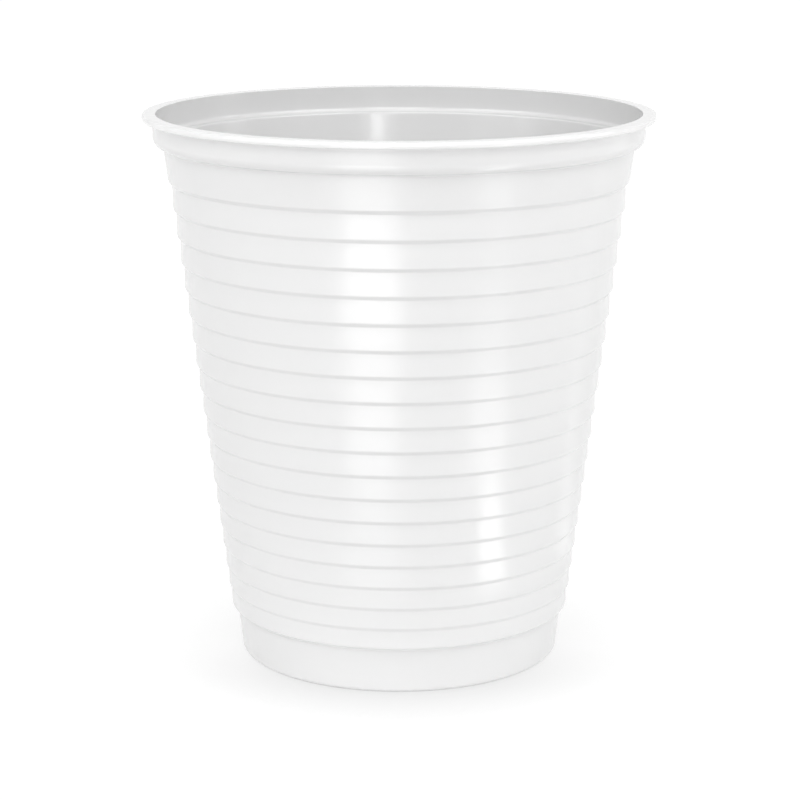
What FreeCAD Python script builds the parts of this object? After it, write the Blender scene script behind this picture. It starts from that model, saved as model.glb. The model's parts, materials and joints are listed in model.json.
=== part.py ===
"""Ribbed disposable cup, formed from one sheet of white plastic.

The cup is one piece.  From the top down it has a flat lip turned outwards, a
plain collar with a rounded underside, a plain band, a wall of narrow rings
that step inwards one after another, a plain foot, and a base whose middle is
pushed up so that the cup stands on a ring.  The origin is the centre of that
ring, on the surface that the cup stands on, and +Z points out of the mouth.
"""
import FreeCAD, Part
import math
import os

import Sketcher

# ---------------------------------------------------------------------------
# Driving sizes: millimetres, and degrees for the two drafts
# ---------------------------------------------------------------------------
SIZES = {
    "cup_height": 76.8,           # standing ring to the top of the lip
    "rim_radius": 35.5,           # outer edge of the lip
    "lip_overhang": 1.47,         # lip's outer edge beyond the collar
    "lip_thickness": 1.0,
    "lip_edge_round": 0.25,       # the lip's outer edges and the mouth's edge
    "wall": 0.2,                  # sheet thickness in rings and foot, measured level
    "collar_wall": 0.45,          # the sheet is stretched less at the top
    "ledge_wall": 0.83,           # height of the ledge inside over the crease outside
    "ledge_round": 0.6,           # inside round between the ledge and the collar
    "collar_depth": 3.1,          # top of the lip to the collar's round
    "collar_round": 1.42,         # quarter round under the collar
    "band_height": 4.89,          # crease under the collar to the first step
    "band_step_rise": 0.55,       # height of the step under the band
    "ring_step_depth": 0.55,      # how far the rings lie inside the draft line
    "ring_step_rise": 0.5,        # height of every other step
    "ring_shrink": 0.052,         # how much lower each ring is than the last
    "wall_draft": 7.24,           # slope of the line that the rings follow
    "foot_height": 6.5,           # standing surface to the last step
    "foot_step_depth": 0.48,      # how far the foot lies inside the rings
    "foot_draft": 6.0,
    "heel_round": 0.7,            # outside round between foot and base
    "standing_ring_width": 2.2,
    "panel_rise": 1.3,            # how far the middle of the base is pushed up
    "panel_lean": 0.7,            # how far the side of the panel leans inwards
}
STEP_COUNT = 19                   # steps from the band down to the foot

SHEET_NAME = "Sizes"
SAME_PLACE = 1e-4                 # closer than this is one place


# ---------------------------------------------------------------------------
# Sizes that carry their own expression
# ---------------------------------------------------------------------------
class Size:
    """A number together with the spreadsheet expression that gives it."""

    def __init__(self, value, text):
        self.value = value
        self.text = text

    @staticmethod
    def of(other):
        if isinstance(other, Size):
            return other
        return Size(float(other), str(other))

    def __add__(self, other):
        other = Size.of(other)
        return Size(self.value + other.value, f"({self.text} + {other.text})")

    def __sub__(self, other):
        other = Size.of(other)
        return Size(self.value - other.value, f"({self.text} - {other.text})")

    def __mul__(self, other):
        other = Size.of(other)
        return Size(self.value * other.value, f"{self.text} * {other.text}")

    def __truediv__(self, other):
        other = Size.of(other)
        return Size(self.value / other.value, f"{self.text} / {other.text}")

    def lean(self):
        """How far a wall at this draft moves sideways for each unit of height."""
        return Size(math.tan(math.radians(self.value)), f"tan({self.text})")


def make_sheet(document):
    """Put the driving sizes in the spreadsheet and return them by name."""
    sheet = document.addObject("Spreadsheet::Sheet", SHEET_NAME)
    sizes = {}
    for row, (name, number) in enumerate(SIZES.items(), start=1):
        sheet.set(f"A{row}", name)
        sheet.set(f"B{row}", str(number))
        sheet.setAlias(f"B{row}", name)
        sizes[name] = Size(number, f"{SHEET_NAME}.{name}")
    document.recompute()
    return sizes


# ---------------------------------------------------------------------------
# Places worked out from the sizes
# ---------------------------------------------------------------------------
class Places:
    """Radii and heights that more than one section uses, all outside faces."""

    def __init__(self, size):
        self.size = size
        self.collar_radius = size["rim_radius"] - size["lip_overhang"]
        self.mouth_radius = self.collar_radius - size["collar_wall"]
        self.lip_underside = size["cup_height"] - size["lip_thickness"]
        self.round_height = size["cup_height"] - size["collar_depth"]
        self.crease_radius = self.collar_radius - size["collar_round"]
        self.crease_height = self.round_height - size["collar_round"]
        self.foot_top = size["foot_height"] - size["ring_step_rise"] / 2
        foot_line = self.draft_line(size["foot_height"])
        self.foot_top_radius = foot_line - size["ring_step_depth"] - size["foot_step_depth"]
        self.foot_radius = self.foot_top_radius - self.foot_top * size["foot_draft"].lean()
        self.ring_radius = self.foot_radius - size["heel_round"] - size["standing_ring_width"]
        self.panel_radius = self.ring_radius - size["panel_lean"]

    def draft_line(self, height):
        """Radius, at a height, of the straight line that the whole wall follows."""
        return self.crease_radius - (self.crease_height - height) * self.size["wall_draft"].lean()

    def step_heights(self):
        """Middle of each step, from the band down, each ring a little lower than the last."""
        first = self.crease_height - self.size["band_height"]
        gaps = STEP_COUNT - 1
        shrink = self.size["ring_shrink"]
        first_pitch = (first - self.size["foot_height"]) / gaps + shrink * ((gaps - 1) / 2)
        return [first - first_pitch * k + shrink * (k * (k - 1) / 2) for k in range(STEP_COUNT)]


def stepped_wall(places, inset):
    """Corners of the wall from the foot up to the crease, moved inwards by inset."""
    size = places.size
    heights = places.step_heights()
    radii = [places.draft_line(height) - size["ring_step_depth"] for height in heights]
    radii[-1] = places.foot_top_radius
    half_rise = size["ring_step_rise"] / 2
    half_band_rise = size["band_step_rise"] / 2

    corners = []
    for index in range(STEP_COUNT - 1, 0, -1):
        corners.append((radii[index] - inset, heights[index] - half_rise))
        corners.append((radii[index - 1] - inset, heights[index] + half_rise))
    band_foot = heights[0] + half_band_rise
    corners.append((radii[0] - inset, heights[0] - half_band_rise))
    corners.append((places.draft_line(band_foot) - inset, band_foot))
    return corners


# ---------------------------------------------------------------------------
# Sections drawn in sketches
# ---------------------------------------------------------------------------
class Section:
    """A closed outline, drawn anticlockwise with the cup's axis on its left."""

    def __init__(self):
        self.corners = []
        self.arc_centres = {}

    def corner(self, radius, height):
        self.corners.append((Size.of(radius), Size.of(height)))

    def arc_about(self, radius, height):
        """Make the side after the last corner an arc about this centre."""
        self.arc_centres[len(self.corners) - 1] = (Size.of(radius), Size.of(height))

    def side(self, index):
        start_radius, start_height = self.corners[index]
        end_radius, end_height = self.corners[(index + 1) % len(self.corners)]
        start = FreeCAD.Vector(start_radius.value, start_height.value, 0)
        end = FreeCAD.Vector(end_radius.value, end_height.value, 0)
        if index not in self.arc_centres:
            return Part.LineSegment(start, end)
        centre_radius, centre_height = self.arc_centres[index]
        centre = FreeCAD.Vector(centre_radius.value, centre_height.value, 0)
        circle = Part.Circle(centre, FreeCAD.Vector(0, 0, 1), start.distanceToPoint(centre))
        return Part.ArcOfCircle(circle, circle.parameter(start), circle.parameter(end))

    def draw(self, body, name):
        """Draw the section in a new sketch on the body's own XZ plane."""
        sketch = body.newObject("Sketcher::SketchObject", name)
        plane = next(p for p in body.Origin.OriginFeatures if p.Role == "XZ_Plane")
        sketch.AttachmentSupport = [(plane, "")]
        sketch.MapMode = "FlatFace"
        count = len(self.corners)
        sketch.addGeometry([self.side(index) for index in range(count)], False)
        for index in range(count):
            sketch.addConstraint(
                Sketcher.Constraint("Coincident", index, 2, (index + 1) % count, 1))
        for index, (radius, height) in enumerate(self.corners):
            hold(sketch, index, 1, "DistanceX", radius)
            hold(sketch, index, 1, "DistanceY", height)
        for index, (radius, height) in self.arc_centres.items():
            hold(sketch, index, 3, "DistanceX", radius)
        return sketch


def hold(sketch, side, point, direction, size):
    """Dimension one point of a sketch from the origin, or pin it to an axis."""
    if abs(size.value) < SAME_PLACE:
        axis = -2 if direction == "DistanceX" else -1
        sketch.addConstraint(Sketcher.Constraint("PointOnObject", side, point, axis))
        return
    number = sketch.addConstraint(Sketcher.Constraint(direction, side, point, size.value))
    sketch.setExpression(f"Constraints[{number}]", size.text)


def outer_section(places):
    """Half of a solid block with the cup's outside form."""
    size = places.size
    section = Section()
    section.corner(0, 0)
    section.corner(places.foot_radius, 0)
    for radius, height in stepped_wall(places, 0):
        section.corner(radius, height)
    section.corner(places.crease_radius, places.crease_height)
    section.arc_about(places.crease_radius, places.round_height)
    section.corner(places.collar_radius, places.round_height)
    section.corner(places.collar_radius, places.lip_underside)
    section.corner(size["rim_radius"], places.lip_underside)
    section.corner(size["rim_radius"], size["cup_height"])
    section.corner(0, size["cup_height"])
    return section


def inner_section(places):
    """Half of the space inside the cup, from the base up over the ledge to the mouth."""
    size = places.size
    wall = size["wall"]
    side_shift = wall / 2
    ledge = places.crease_height + size["ledge_wall"]
    ledge_round = size["ledge_round"]
    section = Section()
    section.corner(0, size["panel_rise"] + wall)
    section.corner(places.panel_radius + side_shift, size["panel_rise"] + wall)
    section.corner(places.ring_radius + side_shift, wall)
    section.corner(places.foot_radius - wall, wall)
    for radius, height in stepped_wall(places, wall):
        section.corner(radius, height)
    section.corner(places.crease_radius - size["collar_wall"], ledge)
    section.corner(places.mouth_radius - ledge_round, ledge)
    section.arc_about(places.mouth_radius - ledge_round, ledge + ledge_round)
    section.corner(places.mouth_radius, ledge + ledge_round)
    section.corner(places.mouth_radius, size["cup_height"])
    section.corner(0, size["cup_height"])
    return section


def recess_section(places):
    """Half of the hollow under the raised middle of the base."""
    size = places.size
    section = Section()
    section.corner(0, 0)
    section.corner(places.ring_radius, 0)
    section.corner(places.panel_radius, size["panel_rise"])
    section.corner(0, size["panel_rise"])
    return section


# ---------------------------------------------------------------------------
# Features
# ---------------------------------------------------------------------------
def turn(body, kind, name, section):
    """Revolve a section about the cup's axis, as a solid or as a cut."""
    sketch = section.draw(body, name + "_section")
    feature = body.newObject(kind, name)
    feature.Profile = sketch
    feature.ReferenceAxis = (sketch, ["V_Axis"])
    feature.Angle = 360
    sketch.Visibility = False
    return feature


def ring_edges(shape, places_wanted):
    """Names of the round edges that lie at the wanted radii and heights."""
    found = []
    for number, edge in enumerate(shape.Edges, start=1):
        if not isinstance(edge.Curve, Part.Circle):
            continue
        for radius, height in places_wanted:
            same_radius = abs(edge.Curve.Radius - radius.value) < SAME_PLACE
            same_height = abs(edge.Curve.Center.z - height.value) < SAME_PLACE
            if same_radius and same_height:
                found.append(f"Edge{number}")
    return found


def round_edges(body, name, places_wanted, radius):
    """Fillet the round edges at these places with a radius from the sheet."""
    base = body.Tip
    edges = ring_edges(base.Shape, places_wanted)
    if len(edges) != len(places_wanted):
        raise RuntimeError(f"{name}: found {len(edges)} of {len(places_wanted)} edges")
    fillet = body.newObject("PartDesign::Fillet", name)
    fillet.Base = (base, edges)
    fillet.Radius = radius.value
    fillet.setExpression("Radius", radius.text)
    return fillet


def make_cup(document, places):
    size = places.size
    wall = size["wall"]
    body = document.addObject("PartDesign::Body", "ribbed_cup")
    body.Label = "ribbed_cup"

    turn(body, "PartDesign::Revolution", "outside", outer_section(places))
    document.recompute()
    block_volume = body.Shape.Volume
    turn(body, "PartDesign::Groove", "inside", inner_section(places))
    document.recompute()
    hollow_volume = body.Shape.Volume
    turn(body, "PartDesign::Groove", "base_recess", recess_section(places))
    document.recompute()
    if not block_volume > hollow_volume > body.Shape.Volume:
        raise RuntimeError("a cut took nothing away")

    # The inside round comes first, because the outside one would meet a sharp inside corner.
    inside_heel = [(places.foot_radius - wall, wall)]
    round_edges(body, "inside_heel", inside_heel, size["heel_round"] - wall)
    document.recompute()
    heel = [(places.foot_radius, Size.of(0))]
    round_edges(body, "heel", heel, size["heel_round"])
    document.recompute()
    lip_edges = [
        (size["rim_radius"], places.lip_underside),
        (size["rim_radius"], size["cup_height"]),
        (places.mouth_radius, size["cup_height"]),
    ]
    round_edges(body, "lip_edges", lip_edges, size["lip_edge_round"])
    document.recompute()
    return body


# ---------------------------------------------------------------------------
# Checks and files
# ---------------------------------------------------------------------------
def check(document, bodies):
    """Stop if any object failed, or if a body isn't one valid solid."""
    for item in document.Objects:
        if "Invalid" in item.State or "Error" in item.State:
            raise RuntimeError(f"{item.Label} failed: {item.State}")
    for body in bodies:
        shape = body.Shape
        if shape.isNull() or not shape.isValid() or len(shape.Solids) != 1:
            raise RuntimeError(f"{body.Label} isn't one valid solid")


def report(body):
    box = body.Shape.BoundBox
    print(body.Label, "volume", round(body.Shape.Volume, 1), "mm3")
    print("  faces", len(body.Shape.Faces), "edges", len(body.Shape.Edges))
    print("  x", round(box.XMin, 3), round(box.XMax, 3), "z", round(box.ZMin, 3), round(box.ZMax, 3))


def main():
    document = FreeCAD.newDocument("RibbedCup")
    places = Places(make_sheet(document))
    cup = make_cup(document, places)
    bodies = [cup]
    check(document, bodies)
    os.makedirs("parts", exist_ok=True)
    for body in bodies:
        report(body)
        body.Shape.exportStep(f"parts/{body.Label}.step")


main()
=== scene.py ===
# %% [markdown]
# # A ribbed disposable cup
# The real cup is pressed from one sheet of white plastic, 0.2 mm thick.  The sheet
# is heated, drawn down into a stepped mould, and its edge is rolled over to make
# a lip.  The model is made in one piece too.  Half of the sheet's section is drawn
# as a closed line, up the outside, round the lip and down the inside, and is spun
# round the cup's axis.  The solid model is loaded first, because it gives the
# cup's real size.

# %% Load the solid model
import json
import math

import bpy
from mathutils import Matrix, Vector


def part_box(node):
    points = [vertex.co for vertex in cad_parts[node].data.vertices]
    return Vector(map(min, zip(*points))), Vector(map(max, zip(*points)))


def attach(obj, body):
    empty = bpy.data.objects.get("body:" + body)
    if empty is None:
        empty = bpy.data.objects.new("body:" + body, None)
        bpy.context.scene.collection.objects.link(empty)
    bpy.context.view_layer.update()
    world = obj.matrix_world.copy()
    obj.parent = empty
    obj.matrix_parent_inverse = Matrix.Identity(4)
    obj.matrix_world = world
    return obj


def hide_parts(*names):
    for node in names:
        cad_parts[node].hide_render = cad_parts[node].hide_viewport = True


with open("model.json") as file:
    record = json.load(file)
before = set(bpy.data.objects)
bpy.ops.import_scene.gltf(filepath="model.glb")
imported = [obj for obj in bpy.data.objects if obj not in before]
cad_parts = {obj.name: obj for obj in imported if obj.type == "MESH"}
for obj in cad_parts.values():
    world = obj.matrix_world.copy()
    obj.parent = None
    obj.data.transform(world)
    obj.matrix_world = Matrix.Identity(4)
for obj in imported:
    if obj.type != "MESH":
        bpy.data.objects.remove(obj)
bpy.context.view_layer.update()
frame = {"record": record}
record = frame["record"]
MM = 0.001

# %% [markdown]
# The height and the rim come from the solid model's box, and the inside of the
# mouth from its mount.  The other sizes are the cup's own: the collar, the band
# under it, the rings, the foot and the raised panel in the base.

# %% Sizes of the cup, in millimetres
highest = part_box("ribbed_cup")[1]
CUP_HEIGHT = highest.z / MM
RIM_RADIUS = highest.x / MM
mouth = next(mount for mount in record["mounts"] if mount["name"] == "mouth")
MOUTH_RADIUS = mouth["dims"]["r_mm"]
WALL = 0.2
COLLAR_WALL = 0.45
LEDGE_WALL = 0.83
LIP_THICKNESS = 0.93
COLLAR_DEPTH = 3.1
COLLAR_ROUND = 1.42
BAND_HEIGHT = 4.89
BAND_STEP_RISE = 0.55
RING_STEP_DEPTH = 0.55
RING_STEP_RISE = 0.5
RING_SHRINK = 0.052
WALL_DRAFT = math.radians(7.24)
STEP_COUNT = 19
FOOT_HEIGHT = 6.5
FOOT_STEP_DEPTH = 0.48
FOOT_DRAFT = math.radians(6.0)
HEEL_ROUND = 0.7
STANDING_RING_WIDTH = 2.2
PANEL_RISE = 1.3
PANEL_LEAN = 0.7
print("cup height", round(CUP_HEIGHT, 2), "rim radius", round(RIM_RADIUS, 2))

# %% [markdown]
# All the rings lie on one straight draft line, as they must for the cup to come
# out of its mould and to stack.  Each ring is a little lower than the one above.
# These few lines work out where the line runs and where the steps fall.

# %% Draft line and steps
COLLAR_RADIUS = MOUTH_RADIUS + COLLAR_WALL
CREASE_RADIUS = COLLAR_RADIUS - COLLAR_ROUND
ROUND_HEIGHT = CUP_HEIGHT - COLLAR_DEPTH
CREASE_HEIGHT = ROUND_HEIGHT - COLLAR_ROUND


def draft_line(height):
    """Outside radius of the straight line that the whole wall follows."""
    return CREASE_RADIUS - (CREASE_HEIGHT - height) * math.tan(WALL_DRAFT)


def step_heights():
    """Middle of each step, from the band down to the foot."""
    first = CREASE_HEIGHT - BAND_HEIGHT
    gaps = STEP_COUNT - 1
    pitch = (first - FOOT_HEIGHT) / gaps + RING_SHRINK * (gaps - 1) / 2
    return [first - pitch * k + RING_SHRINK * k * (k - 1) / 2 for k in range(STEP_COUNT)]


heights = step_heights()
radii = [draft_line(height) - RING_STEP_DEPTH for height in heights]
radii[-1] -= FOOT_STEP_DEPTH
foot_top = FOOT_HEIGHT - RING_STEP_RISE / 2
foot_radius = radii[-1] - foot_top * math.tan(FOOT_DRAFT)
ring_radius = foot_radius - HEEL_ROUND - STANDING_RING_WIDTH
panel_radius = ring_radius - PANEL_LEAN
print("steps from", round(heights[0], 2), "to", round(heights[-1], 2), "mm high")

# %% [markdown]
# The cup's shape is drawn as a section: half of a slice through the middle, a
# chain of corners that are each a radius and a height.  Nothing in pressed sheet
# is knife-sharp, so every corner gets a fold, a small arc between its two sides.

# %% Arcs and folds
ARC_STEP = math.radians(11)


def arc(centre, radius, start, end):
    """Corners along an arc in the section, from one angle to another."""
    steps = max(2, math.ceil(abs(end - start) / ARC_STEP))
    angles = [start + (end - start) * step / steps for step in range(steps + 1)]
    x, z = centre
    return [(x + radius * math.cos(a), z + radius * math.sin(a)) for a in angles]


def fold(before, corner, after, radius):
    """The arc that replaces one corner of the section."""
    here = Vector(corner)
    back = (Vector(before) - here).normalized()
    on = (Vector(after) - here).normalized()
    turn = math.pi - back.angle(on)
    reach = radius * math.tan(turn / 2)
    centre = here + (back + on).normalized() * radius / math.cos(turn / 2)
    first = (here + back * reach - centre).normalized()
    last = (here + on * reach - centre).normalized()
    steps = max(2, math.ceil(turn / ARC_STEP))
    parts = [step / steps for step in range(steps + 1)]
    return [tuple(centre + first.slerp(last, part) * radius) for part in parts]


def folded(chain):
    """A chain of (radius, height, fold) with each inner corner folded."""
    corners = [chain[0][:2]]
    for before, corner, after in zip(chain, chain[1:], chain[2:]):
        corners += fold(before[:2], corner[:2], after[:2], corner[2])
    return corners + [chain[-1][:2]]


print("a fold of 1 mm over a right angle:", len(fold((1, 0), (0, 0), (0, 1), 1)), "corners")

# %% [markdown]
# The outside comes first.  The base is pushed up in the middle, so the cup
# stands on a ring.  Above the heel come the foot and the rings, and last the
# band.  Each ring ends below in a short slope that turns under, and the slope is
# what shows on the cup as a fine dark line.

# %% Outside of the base and wall
RING_FOLD = 0.35
STEP_FOLD = 0.3
PANEL_FOLD = 0.5
STANDING_RING_FOLD = 0.3


def outside_wall():
    """Corners of the base, foot, rings and band, each with its fold."""
    chain = [(0, PANEL_RISE, 0), (panel_radius, PANEL_RISE, PANEL_FOLD)]
    chain += [(ring_radius, 0, STANDING_RING_FOLD), (foot_radius, 0, HEEL_ROUND)]
    half_rise = RING_STEP_RISE / 2
    for index in range(STEP_COUNT - 1, 0, -1):
        chain.append((radii[index], heights[index] - half_rise, STEP_FOLD))
        chain.append((radii[index - 1], heights[index] + half_rise, RING_FOLD))
    half_rise = BAND_STEP_RISE / 2
    band_foot = heights[0] + half_rise
    chain.append((radii[0], heights[0] - half_rise, STEP_FOLD))
    chain.append((draft_line(band_foot), band_foot, RING_FOLD))
    return chain


# %% [markdown]
# The collar is one quarter round below a straight stretch.  Where its underside
# meets the band, the sheet folds the other way.  That fold is an arc too, which
# touches both the band and the quarter round, so its centre is found first, in a
# few rounds that each come closer to it.

# %% Outside of the collar
CREASE_FOLD = 0.35
CENTRE_ROUNDS = 6


def collar_outside():
    """The crease's fold, the collar's round and its straight side."""
    reach = COLLAR_ROUND + CREASE_FOLD
    height = CREASE_HEIGHT
    for _ in range(CENTRE_ROUNDS):
        radius = draft_line(height) + CREASE_FOLD / math.cos(WALL_DRAFT)
        height = ROUND_HEIGHT - math.sqrt(reach**2 - (radius - CREASE_RADIUS) ** 2)
    touch = math.atan2(ROUND_HEIGHT - height, CREASE_RADIUS - radius)
    corners = arc((radius, height), CREASE_FOLD, math.pi - WALL_DRAFT, touch)
    return corners + arc((CREASE_RADIUS, ROUND_HEIGHT), COLLAR_ROUND, touch - math.pi, 0)[1:]


collar = collar_outside()
outside = folded(outside_wall() + [(*collar[0], 0)]) + collar[1:]
print(len(outside), "corners outside, crease at", round(collar[0][1], 2), "mm")

# %% [markdown]
# The inside of the base, foot and rings follows the outside, one sheet thickness
# away, so every corner moves along its own normal.

# %% Inside of the base and wall


def moved_in(before, corner, after):
    """One corner of the outside, moved to the inside face."""
    first = (Vector(corner) - Vector(before)).normalized()
    second = (Vector(after) - Vector(corner)).normalized()
    normals = Vector((-first.y, first.x)) + Vector((-second.y, second.x))
    return tuple(Vector(corner) + normals * WALL / (1 + first.dot(second)))


wall = folded(outside_wall() + [(*collar[0], 0)])[:-1]
ends = [(-1, wall[0][1])] + wall + [collar[0]]
inside_rings = [moved_in(*three) for three in zip(ends, ends[1:], ends[2:])]
print("inside of the base", round(inside_rings[0][1], 2), "mm high")

# %% [markdown]
# The sheet is stretched least at the top, so the band grows thicker upwards and
# ends in a narrow ledge.  The ledge falls a little inwards, to a tight edge, and
# the collar rises from its other side with a small hollow round.

# %% Inside of the band and collar
LEDGE_EDGE = 0.3
LEDGE_ROUND = 0.6
LEDGE_FALL = 0.15


def collar_inside():
    """From the foot of the band over the ledge and up the inside of the collar.

    The last corner only says which way the sheet goes on, for the fold before it.
    """
    ledge = CREASE_HEIGHT + LEDGE_WALL
    chain = [(*inside_rings[-1], 0)]
    chain.append((CREASE_RADIUS - LEDGE_EDGE, ledge - LEDGE_FALL, LEDGE_EDGE))
    chain.append((MOUTH_RADIUS, ledge, LEDGE_ROUND))
    chain.append((MOUTH_RADIUS, ledge + 1, 0))
    return folded(chain)[1:-1]


inside = inside_rings + collar_inside()
print(len(inside), "corners inside")

# %% [markdown]
# The lip closes the section at the top.  The sheet goes up to the mouth's edge,
# turns out over it and is rolled round, with a little hollow left underneath
# where the roll comes back to the collar.

# %% Lip
MOUTH_EDGE = 0.12
ROLL_HOLLOW = 0.6
HOLLOW_FOLD = 0.05
ROLL_FOLD = 0.2
HALF_FLAT = 0.02


def lip_section():
    """From the collar, under and round the lip, over the top and into the mouth."""
    end = LIP_THICKNESS / 2 - HALF_FLAT
    under = CUP_HEIGHT - LIP_THICKNESS
    chain = [(COLLAR_RADIUS, ROUND_HEIGHT, 0)]
    chain.append((COLLAR_RADIUS, under + ROLL_HOLLOW, HOLLOW_FOLD))
    chain.append((COLLAR_RADIUS + ROLL_HOLLOW, under, ROLL_FOLD))
    chain += [(RIM_RADIUS, under, end), (RIM_RADIUS, CUP_HEIGHT, end)]
    chain += [(MOUTH_RADIUS, CUP_HEIGHT, MOUTH_EDGE), (MOUTH_RADIUS, ROUND_HEIGHT, 0)]
    return folded(chain)[1:-1]


section = outside + lip_section() + inside[::-1]
print(len(section), "corners in the whole section")

# %% [markdown]
# The section is drawn in edit mode, as by hand: a plane is merged into one point
# on the axis, and the point is extruded from corner to corner.  Spin then
# carries the section once round the axis, as a mould maker's lathe would.

# %% Draw and spin the section
AROUND = 160

bpy.ops.object.select_all(action="DESELECT")
bpy.ops.mesh.primitive_plane_add(size=MM, location=(0, 0, 0))
cup = bpy.context.object
cup.name = "cup_sheet"
bpy.ops.object.mode_set(mode="EDIT")
bpy.ops.mesh.select_all(action="SELECT")
bpy.ops.mesh.merge(type="CENTER")
bpy.ops.transform.translate(value=(section[0][0] * MM, 0, section[0][1] * MM))
for last, corner in zip(section, section[1:]):
    move = ((corner[0] - last[0]) * MM, 0, (corner[1] - last[1]) * MM)
    bpy.ops.mesh.extrude_region_move(TRANSFORM_OT_translate={"value": move})
bpy.ops.mesh.select_all(action="SELECT")
bpy.ops.mesh.spin(steps=AROUND, angle=math.tau, center=(0, 0, 0), axis=(0, 0, 1))
print("spun", len(section), "corners in", AROUND, "steps")

# %% [markdown]
# Spin leaves a seam where it began, and many points on top of each other on the
# axis.  Merging doubles closes both, and then the normals are made to point out
# of the plastic.  Smooth shading runs over the folds.

# %% Close and smooth
bpy.ops.mesh.select_all(action="SELECT")
bpy.ops.mesh.remove_doubles(threshold=1e-6)
bpy.ops.mesh.normals_make_consistent(inside=False)
bpy.ops.object.mode_set(mode="OBJECT")
bpy.ops.object.shade_smooth()
print("cup has", len(cup.data.vertices), "points and", len(cup.data.polygons), "faces")

# %% [markdown]
# The material has to know the inside face and the lip, so both are stored on
# the mesh as attributes.  They are found by place and normal: the inside faces
# the axis or looks up, and the lip is what stands out beyond the mouth, above its
# underside.  The inside mark carries painted shade, and the lip mark painted light
# on the lip's top.

# %% Mark the inside and the lip
MOUTH_MARGIN = 0.01
TURNED_OUT = 0.01
LOOKING_DOWN = -0.02
LIP_MARGIN = 0.1

inside_mark = cup.data.attributes.new("inside", "FLOAT", "POINT")
lip_mark = cup.data.attributes.new("lip", "FLOAT", "POINT")
for point, inner, lip in zip(cup.data.vertices, inside_mark.data, lip_mark.data):
    place, normal = point.co, point.normal
    radius = math.hypot(place.x, place.y)
    facing_out = place.x * normal.x + place.y * normal.y > TURNED_OUT * radius
    beyond_mouth = radius > (MOUTH_RADIUS + MOUTH_MARGIN) * MM
    faces_in = normal.z > LOOKING_DOWN and not facing_out
    inner.value = 1.0 if faces_in and not beyond_mouth else 0.0
    # Only the lip's top, above its underside, is marked: painted light where it catches the
    # lamps.
    high = place.z > (CUP_HEIGHT - LIP_THICKNESS + LIP_MARGIN) * MM
    lip.value = 1.0 if beyond_mouth and high else 0.0
print("inside", sum(mark.value for mark in inside_mark.data), "points, lip",
      sum(mark.value for mark in lip_mark.data))

# %% [markdown]
# Three effects make the plastic more than a flat white, and each is a node group,
# so that it can be placed in any material with its own values.  A group is a
# small node tree with named inputs and outputs.  A few helpers come first,
# because every group needs the same kinds of node.

# %% Helpers for node groups


def new_group(name, inputs, output):
    """A shader node group with a Vector input, these float inputs and one float output."""
    group = bpy.data.node_groups.new(name, "ShaderNodeTree")
    socket = group.interface.new_socket
    socket("Vector", in_out="INPUT", socket_type="NodeSocketVector")
    for label, value in inputs.items():
        made = socket(label, in_out="INPUT", socket_type="NodeSocketFloat")
        made.default_value = value
    socket(output, in_out="OUTPUT", socket_type="NodeSocketFloat")
    return group, group.nodes.new("NodeGroupInput"), group.nodes.new("NodeGroupOutput")


def math_node(tree, kind, first, second):
    """A Math node; each side is a socket or a number."""
    node = tree.nodes.new("ShaderNodeMath")
    node.operation = kind
    for socket, value in zip(node.inputs, (first, second)):
        if isinstance(value, (int, float)):
            socket.default_value = value
        else:
            tree.links.new(value, socket)
    return node.outputs[0]


def vector_node(tree, kind, first, second=None):
    """A Vector Math node on one or two vector sockets."""
    node = tree.nodes.new("ShaderNodeVectorMath")
    node.operation = kind
    tree.links.new(first, node.inputs[0])
    if second is not None:
        tree.links.new(second, node.inputs[1])
    return node


def noise_node(tree, vector, scale, detail):
    """A Noise Texture on this vector; scale is a socket or a number."""
    node = tree.nodes.new("ShaderNodeTexNoise")
    node.inputs["Detail"].default_value = detail
    tree.links.new(vector, node.inputs["Vector"])
    if isinstance(scale, (int, float)):
        node.inputs["Scale"].default_value = scale
    else:
        tree.links.new(scale, node.inputs["Scale"])
    return node.outputs["Fac"]


print("node groups so far:", len(bpy.data.node_groups))

# %% [markdown]
# The first effect is streaks.  As the sheet was drawn down it stretched along its
# length, so tiny marks run from the rim to the base.  The group turns a point's
# place into a direction round the cup and a height, and lays a noise on those
# that is fine around the cup and long down it.  An angle would jump from 360 to
# 0 degrees somewhere and leave a seam, and a direction has no such jump.

# %% Draw streaks
STREAK_DETAIL = 3.0


def around_and_down(tree, source):
    """A point's direction round the axis times Around, plus its height times Down."""
    split = tree.nodes.new("ShaderNodeSeparateXYZ")
    flat = tree.nodes.new("ShaderNodeCombineXYZ")
    lift = tree.nodes.new("ShaderNodeCombineXYZ")
    tree.links.new(source.outputs["Vector"], split.inputs[0])
    tree.links.new(split.outputs["X"], flat.inputs["X"])
    tree.links.new(split.outputs["Y"], flat.inputs["Y"])
    direction = vector_node(tree, "NORMALIZE", flat.outputs[0])
    around = vector_node(tree, "SCALE", direction.outputs["Vector"])
    tree.links.new(source.outputs["Around"], around.inputs["Scale"])
    height = math_node(tree, "MULTIPLY", split.outputs["Z"], source.outputs["Down"])
    tree.links.new(height, lift.inputs["Z"])
    return vector_node(tree, "ADD", around.outputs["Vector"], lift.outputs[0]).outputs["Vector"]


streaks, source, target = new_group("draw_streaks", {"Around": 30.0, "Down": 60.0}, "Mask")
lines = noise_node(streaks, around_and_down(streaks, source), 1.0, STREAK_DETAIL)
streaks.links.new(lines, target.inputs["Mask"])
print(streaks.name, "has", len(streaks.nodes), "nodes")

# %% [markdown]
# The second effect is slight waves.  A sheet this thin never comes out of the
# mould quite true, and what shows it is the edge of a highlight, which wanders.
# A soft noise a few millimetres wide does this as a relief of the surface.

# %% Sheet waves
WAVE_DETAIL = 1.0

waves, source, target = new_group("sheet_waves", {"Scale": 120.0}, "Height")
swell = noise_node(waves, source.outputs["Vector"], source.outputs["Scale"], WAVE_DETAIL)
waves.links.new(swell, target.inputs["Height"])
print(waves.name, "has", len(waves.nodes), "nodes")

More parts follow.
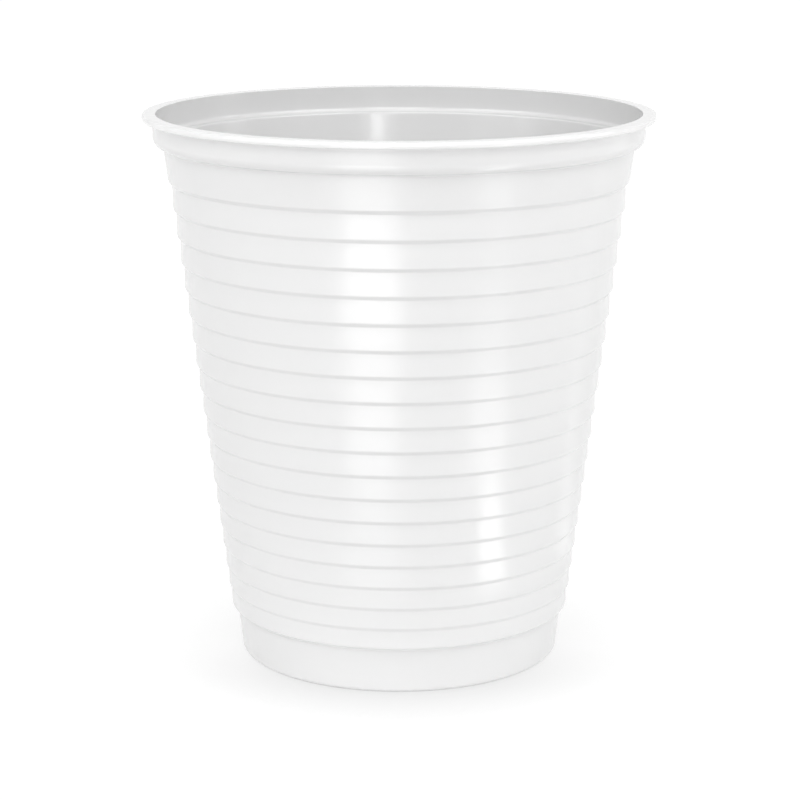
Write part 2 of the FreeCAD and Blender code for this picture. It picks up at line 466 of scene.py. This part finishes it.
# %% [markdown]
# The third effect is handling marks, the faint duller spots where cups rubbed
# together in their stack.  Only the highest parts of a noise are kept: Cover is
# taken off, the rest is multiplied up, and the result is held between 0 and 1.

# %% Handling marks
MARK_EDGE = 6.0
MARK_DETAIL = 4.0

handling, source, target = new_group("handling_marks", {"Scale": 300.0, "Cover": 0.55}, "Mask")
marks = noise_node(handling, source.outputs["Vector"], source.outputs["Scale"], MARK_DETAIL)
past = math_node(handling, "SUBTRACT", marks, source.outputs["Cover"])
kept = math_node(handling, "MINIMUM", math_node(handling, "MULTIPLY", past, MARK_EDGE), 1.0)
handling.links.new(math_node(handling, "MAXIMUM", kept, 0.0), target.inputs["Mask"])
print(handling.name, "has", len(handling.nodes), "nodes")

# %% [markdown]
# The real wall is 0.2 mm thin and lets a little light through, but the material
# here is not translucent.  Instead the inside gets a greyer white, a painted
# shade for the inside of the cup, which gets less light than the outside.  The
# top of the rolled lip gets the whitest white, partly because the roll is several
# layers thick and partly as painted light where the lip's top catches the lamps.
# The two marks on the mesh choose between three whites.

# %% Material and colours
WHITE = (0.88, 0.88, 0.88, 1)
# Painted shade for the inside of the cup, which gets less light than the outside.
INSIDE_PAINTED_SHADE_WHITE = (0.79, 0.79, 0.79, 1)
# Whitest white: partly the thick roll, partly painted light on the lip's top.
LIP_WHITE_AND_PAINTED_LIGHT = (0.97, 0.97, 0.97, 1)

white = bpy.data.materials.new("white_plastic")
white.use_nodes = True
tree = white.node_tree
shader = tree.nodes["Principled BSDF"]


def mark_value(tree, name):
    """The value of one of the marks stored on the mesh."""
    node = tree.nodes.new("ShaderNodeAttribute")
    node.attribute_name = name
    return node.outputs["Fac"]


def mix_colours(tree, mask, first, second):
    """A Mix node by a mask, from a colour or a colour socket to another colour."""
    node = tree.nodes.new("ShaderNodeMix")
    node.data_type = "RGBA"
    node.inputs[7].default_value = second
    tree.links.new(mask, node.inputs["Factor"])
    if isinstance(first, tuple):
        node.inputs[6].default_value = first
    else:
        tree.links.new(first, node.inputs[6])
    return node.outputs[2]


# The inside mark paints shade on the inside of the cup.
colour = mix_colours(tree, mark_value(tree, "inside"), WHITE, INSIDE_PAINTED_SHADE_WHITE)
# The lip mark paints light on the lip's top, and stands for its thick roll too.
colour = mix_colours(tree, mark_value(tree, "lip"), colour, LIP_WHITE_AND_PAINTED_LIGHT)
tree.links.new(colour, shader.inputs["Base Color"])
print("whites of the wall, inside and lip:", WHITE[0], INSIDE_PAINTED_SHADE_WHITE[0], LIP_WHITE_AND_PAINTED_LIGHT[0])

# %% [markdown]
# The gloss is what makes it read as plastic.  The surface is satin: smooth enough
# for a highlight down the side, with the streaks and the marks making it a little
# duller in places.  The specular level is above the default, because the face
# that touched the polished mould is glossier than plain plastic.

# %% Gloss
SMOOTHEST = 0.15
STREAK_DULLNESS = 0.10
MARK_DULLNESS = 0.04


def use_group(tree, group, vector, **values):
    """Place a node group in a material, with its own values."""
    node = tree.nodes.new("ShaderNodeGroup")
    node.node_tree = group
    tree.links.new(vector, node.inputs["Vector"])
    for label, value in values.items():
        node.inputs[label].default_value = value
    return node.outputs[0]


shader.inputs["IOR"].default_value = 1.5
shader.inputs["Specular IOR Level"].default_value = 1.0
spot = tree.nodes.new("ShaderNodeTexCoord").outputs["Object"]
streak_mask = use_group(tree, streaks, spot, Around=26.0, Down=90.0)
mark_mask = use_group(tree, handling, spot)
rough = math_node(tree, "MULTIPLY", streak_mask, STREAK_DULLNESS)
rough = math_node(tree, "ADD", rough, math_node(tree, "MULTIPLY", mark_mask, MARK_DULLNESS))
tree.links.new(math_node(tree, "ADD", rough, SMOOTHEST), shader.inputs["Roughness"])
print("roughness from", SMOOTHEST, "to", round(SMOOTHEST + STREAK_DULLNESS + MARK_DULLNESS, 2))

# %% [markdown]
# The waves and the streaks are also a relief, much too shallow to model.  A Bump
# node tilts the shading as if the surface rose and fell by this height.

# %% Relief
RELIEF = 0.05 * MM
STREAK_RELIEF = 0.15

wave_height = use_group(tree, waves, spot, Scale=120.0)
relief = math_node(tree, "MULTIPLY", streak_mask, STREAK_RELIEF)
bump = tree.nodes.new("ShaderNodeBump")
bump.inputs["Strength"].default_value = 1.0
bump.inputs["Distance"].default_value = RELIEF
tree.links.new(math_node(tree, "ADD", wave_height, relief), bump.inputs["Height"])
tree.links.new(bump.outputs["Normal"], shader.inputs["Normal"])
cup.data.materials.clear()
cup.data.materials.append(white)
print("material", white.name, "has", len(tree.nodes), "nodes")

# %% [markdown]
# The finished sheet stands for the plain solid of the cup, which stays behind it
# for the physics.  A cup has no joints, so it rides on the only body, the root.

# %% Ride on the solid model
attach(cup, "root")
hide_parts("ribbed_cup")
print("the sheet rides on root and replaces ribbed_cup")

# %% [markdown]
# A white cup is shown best on white paper, with only a soft shade where it
# stands, and that shade is mostly painted.  Real paper under these lamps would come out grey
# further away, so the paper has two faces.  For the light that bounces off it onto the cup it
# is plain matt paper.  For the camera, and for what the plastic mirrors, it is a glow that
# rises to full white with distance, with a painted shadow near the base, plus a little shading
# from the lamps.

# %% Floor
FLOOR_WIDTH = 8

bpy.ops.object.select_all(action="DESELECT")
bpy.ops.mesh.primitive_plane_add(size=FLOOR_WIDTH, location=(0, 0, 0))
floor = bpy.context.object
floor.name = "floor"


def seen_directly(tree):
    """1 for rays from the camera and for mirrored and transmitted ones, else 0."""
    path = tree.nodes.new("ShaderNodeLightPath")
    mirrored = math_node(
        tree, "MAXIMUM", path.outputs["Is Glossy Ray"], path.outputs["Is Transmission Ray"])
    return math_node(tree, "MAXIMUM", path.outputs["Is Camera Ray"], mirrored)


def empty_tree(owner, output):
    """The node tree of a material or world with nothing but its output."""
    owner.use_nodes = True
    owner.node_tree.nodes.clear()
    return owner.node_tree, owner.node_tree.nodes.new(output)


def smooth_range(tree, value, start, end, low, high):
    """A Map Range node that goes smoothly from low at start to high at end."""
    node = tree.nodes.new("ShaderNodeMapRange")
    node.interpolation_type = "SMOOTHSTEP"
    limits = {"From Min": start, "From Max": end, "To Min": low, "To Max": high}
    for label, number in limits.items():
        node.inputs[label].default_value = number
    tree.links.new(value, node.inputs["Value"])
    return node.outputs["Result"]


print("floor is", round(floor.dimensions.x, 1), "m wide")

# %% [markdown]
# Close to the base a shadow is painted into the paper's glow.  An Ambient Occlusion node tells
# how much of the space round a spot is covered, here by the cup's wall, within a distance.
# The painted shadow is deeper in front of the cup than behind it, as it would be under a light
# that hangs a little behind the cup.

# %% Glow and painted shadow of the paper
NEAR_GLOW = 0.96
FULL_GLOW = 1.0
GLOW_START = 60 * MM
GLOW_END = 350 * MM
SHADE_REACH = 16 * MM
SHADE_IN_FRONT = 0.42
SHADE_BEHIND = 0.18
SHADE_SAMPLES = 16
FRONT_OF_BASE = -22 * MM

paper = bpy.data.materials.new("paper")
tree, out = empty_tree(paper, "ShaderNodeOutputMaterial")
spot = tree.nodes.new("ShaderNodeTexCoord").outputs["Object"]
split = tree.nodes.new("ShaderNodeSeparateXYZ")
tree.links.new(spot, split.inputs[0])
distance = vector_node(tree, "LENGTH", spot).outputs["Value"]
rising = smooth_range(tree, distance, GLOW_START, GLOW_END, NEAR_GLOW, FULL_GLOW)
front_to_axis = (FRONT_OF_BASE, 0.0, SHADE_IN_FRONT, SHADE_BEHIND)
depth = smooth_range(tree, split.outputs["Y"], *front_to_axis)

# Painted shadow: the AO node darkens the paper's glow near the cup's base.
openness = tree.nodes.new("ShaderNodeAmbientOcclusion")
openness.samples = SHADE_SAMPLES
openness.inputs["Distance"].default_value = SHADE_REACH
covered = math_node(tree, "SUBTRACT", 1.0, openness.outputs["AO"])
shade = math_node(tree, "SUBTRACT", 1.0, math_node(tree, "MULTIPLY", covered, depth))
glow = tree.nodes.new("ShaderNodeEmission")
glow.inputs["Strength"].default_value = 1.0
tree.links.new(math_node(tree, "MULTIPLY", rising, shade), glow.inputs["Color"])
print("glow from", NEAR_GLOW, "to", FULL_GLOW)

# %% [markdown]
# The two faces of the paper are joined by the light path: one for the rays that
# are seen directly, and the plain one for all the others.

# %% Two faces of the paper
PAPER_WHITE = 0.95
LAMP_SHADING = 0.10


def matt(tree, grey):
    """A plain matt surface of this grey."""
    node = tree.nodes.new("ShaderNodeBsdfDiffuse")
    node.inputs["Color"].default_value = (grey, grey, grey, 1)
    return node.outputs[0]


def mixed(tree, first, second, out):
    """Join two shaders by what is seen directly, and send the result to the output."""
    mix = tree.nodes.new("ShaderNodeMixShader")
    tree.links.new(seen_directly(tree), mix.inputs[0])
    tree.links.new(first, mix.inputs[1])
    tree.links.new(second, mix.inputs[2])
    tree.links.new(mix.outputs[0], out.inputs["Surface"])


add = tree.nodes.new("ShaderNodeAddShader")
tree.links.new(matt(tree, LAMP_SHADING), add.inputs[0])
tree.links.new(glow.outputs[0], add.inputs[1])
mixed(tree, matt(tree, PAPER_WHITE), add.outputs[0], out)
floor.data.materials.append(paper)
print("paper has", len(tree.nodes), "nodes")

# %% [markdown]
# Beyond the floor is the world.  It is white where it is seen, and gives the cup
# about a quarter of its light, evenly from all sides.  The rest comes from lamps.

# %% World
SOFT_LIGHT = 0.30

world = bpy.data.worlds.new("studio")
bpy.context.scene.world = world
tree, out = empty_tree(world, "ShaderNodeOutputWorld")


def backdrop(tree, strength):
    """An even white background of this strength."""
    node = tree.nodes.new("ShaderNodeBackground")
    node.inputs["Color"].default_value = (1, 1, 1, 1)
    node.inputs["Strength"].default_value = strength
    return node.outputs[0]


mixed(tree, backdrop(tree, SOFT_LIGHT), backdrop(tree, 1.0), out)
print("world has", len(tree.nodes), "nodes")

# %% [markdown]
# A soft box is a large lamp with a white cloth in front, and an area lamp is just
# that.  Large lamps give soft shades, so the steps show as gentle grey lines.
# They stand in front and on both sides, some high and some low: the high ones
# shade the crease and the collar under the lip, and the low ones fill the shade.

# %% Soft boxes
SOFT_BOX_DISTANCE = 1.3
MIDDLE_OF_CUP = Vector((0, 0, 0.04))


def area_lamp(name, width, height, power, location, turn):
    """A rectangular soft box that lights but isn't seen."""
    data = bpy.data.lights.new(name, "AREA")
    data.shape = "RECTANGLE"
    data.size = width
    data.size_y = height
    data.energy = power
    lamp = bpy.data.objects.new(name, data)
    bpy.context.scene.collection.objects.link(lamp)
    lamp.location = location
    lamp.rotation_euler = turn
    lamp.visible_camera = False
    return lamp


def soft_box(name, azimuth, elevation, width, height, power):
    """A soft box 1.3 m from the cup; azimuth 0 is in front, and 90 is to the right."""
    side, up = math.radians(azimuth), math.radians(elevation)
    level = SOFT_BOX_DISTANCE * math.cos(up)
    height_above = SOFT_BOX_DISTANCE * math.sin(up)
    location = Vector((level * math.sin(side), -level * math.cos(side), height_above))
    turn = (MIDDLE_OF_CUP - location).to_track_quat("-Z", "Y").to_euler()
    return area_lamp(name, width, height, power, location, turn)


# name, azimuth and elevation in degrees, width and height in metres, watts
soft_boxes = [
    soft_box("front_high", 0, 57, 0.5, 0.9, 1.4),
    soft_box("front", 0, 35, 0.5, 0.4, 1.9),
    soft_box("left", -58, 25, 0.9, 0.5, 2.4),
    soft_box("left_high", -58, 50, 0.9, 0.5, 3.0),
    soft_box("right", 58, 25, 0.9, 0.5, 1.5),
    soft_box("right_high", 58, 50, 0.9, 0.5, 3.3),
]
print("soft boxes:", round(sum(lamp.data.energy for lamp in soft_boxes), 1), "W in all")

# %% [markdown]
# Three narrower lamps work on the edges.  Two upright strips stand on the floor at
# the sides, and light the cup's outline.  The third shines in over the lip, and
# its mirror image is the bright stripe on the inside of the back wall.

# %% Side strips and the lamp into the mouth
STRIP_WIDTH = 0.2
STRIP_HEIGHT = 0.5
STRIP_AIM = Vector((0, 0, 0.045))


def side_strip(name, azimuth, power):
    """An upright strip on the floor, one metre away."""
    side = math.radians(azimuth)
    location = Vector((math.sin(side), -math.cos(side), STRIP_HEIGHT / 2))
    turn = (STRIP_AIM - location).to_track_quat("-Z", "Y").to_euler()
    return area_lamp(name, STRIP_WIDTH, STRIP_HEIGHT, power, location, turn)


side_strip("left_strip", -70, 0.33)
side_strip("right_strip", 95, 1.05)
mouth_lamp = soft_box("into_the_mouth", 11, 14, 0.12, 0.24, 0.6)
print("lamp into the mouth stands at", [round(side, 2) for side in mouth_lamp.location])

# %% [markdown]
# The highlights down the wall are mirror images.  An upright ring, seen from a
# little above, mirrors the floor in front of the cup, so a bright card on the
# floor there shows as a highlight, and the further away it lies, the higher up
# the cup it shows.  The cards are seen only by mirrored rays, because as lamps
# they would also light the underside of the lip, which should stay grey.

# %% Cards for the highlights
CARD_HEIGHT = 4 * MM


def floor_card(name, azimuth, near, far, width, power):
    """A bright card on the floor, from near to far from the cup's axis."""
    side = math.radians(azimuth)
    middle = (near + far) / 2
    location = (middle * math.sin(side), -middle * math.cos(side), CARD_HEIGHT)
    card = area_lamp(name, width, far - near, power, location, (math.pi, 0, side))
    card.visible_diffuse = False
    return card


# name, azimuth in degrees, near end, far end and width in metres, watts
cards = [
    floor_card("main_highlight", -13.5, 0.175, 0.34, 0.11, 0.122),
    floor_card("main_highlight_middle", -13.5, 0.10, 0.155, 0.055, 0.0125),
    floor_card("main_highlight_foot", -14, 0.05, 0.10, 0.03, 0.0022),
    floor_card("right_highlight", 47, 0.165, 0.30, 0.05, 0.006),
    floor_card("right_highlight_middle", 46, 0.10, 0.165, 0.045, 0.0105),
    floor_card("right_highlight_foot", 49, 0.05, 0.10, 0.016, 0.0052),
    floor_card("right_edge", 110, 0.05, 0.30, 0.02, 0.0052),
    floor_card("collar_right", 116, 0.42, 0.60, 0.16, 0.06),
]
print(len(cards), "cards on the floor")

# %% [markdown]
# The camera looks down on the cup by 13 degrees, from a third of a metre away,
# with a long lens, so the mouth shows as a flat oval and the cup's sides taper
# almost as they really do.

# %% Camera
CAMERA_TILT = math.radians(13.08)
CAMERA_PLACE = (0.00012, -0.3416, 0.1151)
LENS = 111.1
SENSOR_WIDTH = 36

camera_data = bpy.data.cameras.new("camera")
camera_data.lens = LENS
camera_data.sensor_width = SENSOR_WIDTH
camera = bpy.data.objects.new("camera", camera_data)
bpy.context.scene.collection.objects.link(camera)
camera.location = CAMERA_PLACE
camera.rotation_euler = (math.pi / 2 - CAMERA_TILT, 0, 0)
bpy.context.scene.camera = camera
bpy.context.scene.view_settings.view_transform = "Standard"
print("camera looks down", round(math.degrees(CAMERA_TILT), 1), "degrees")
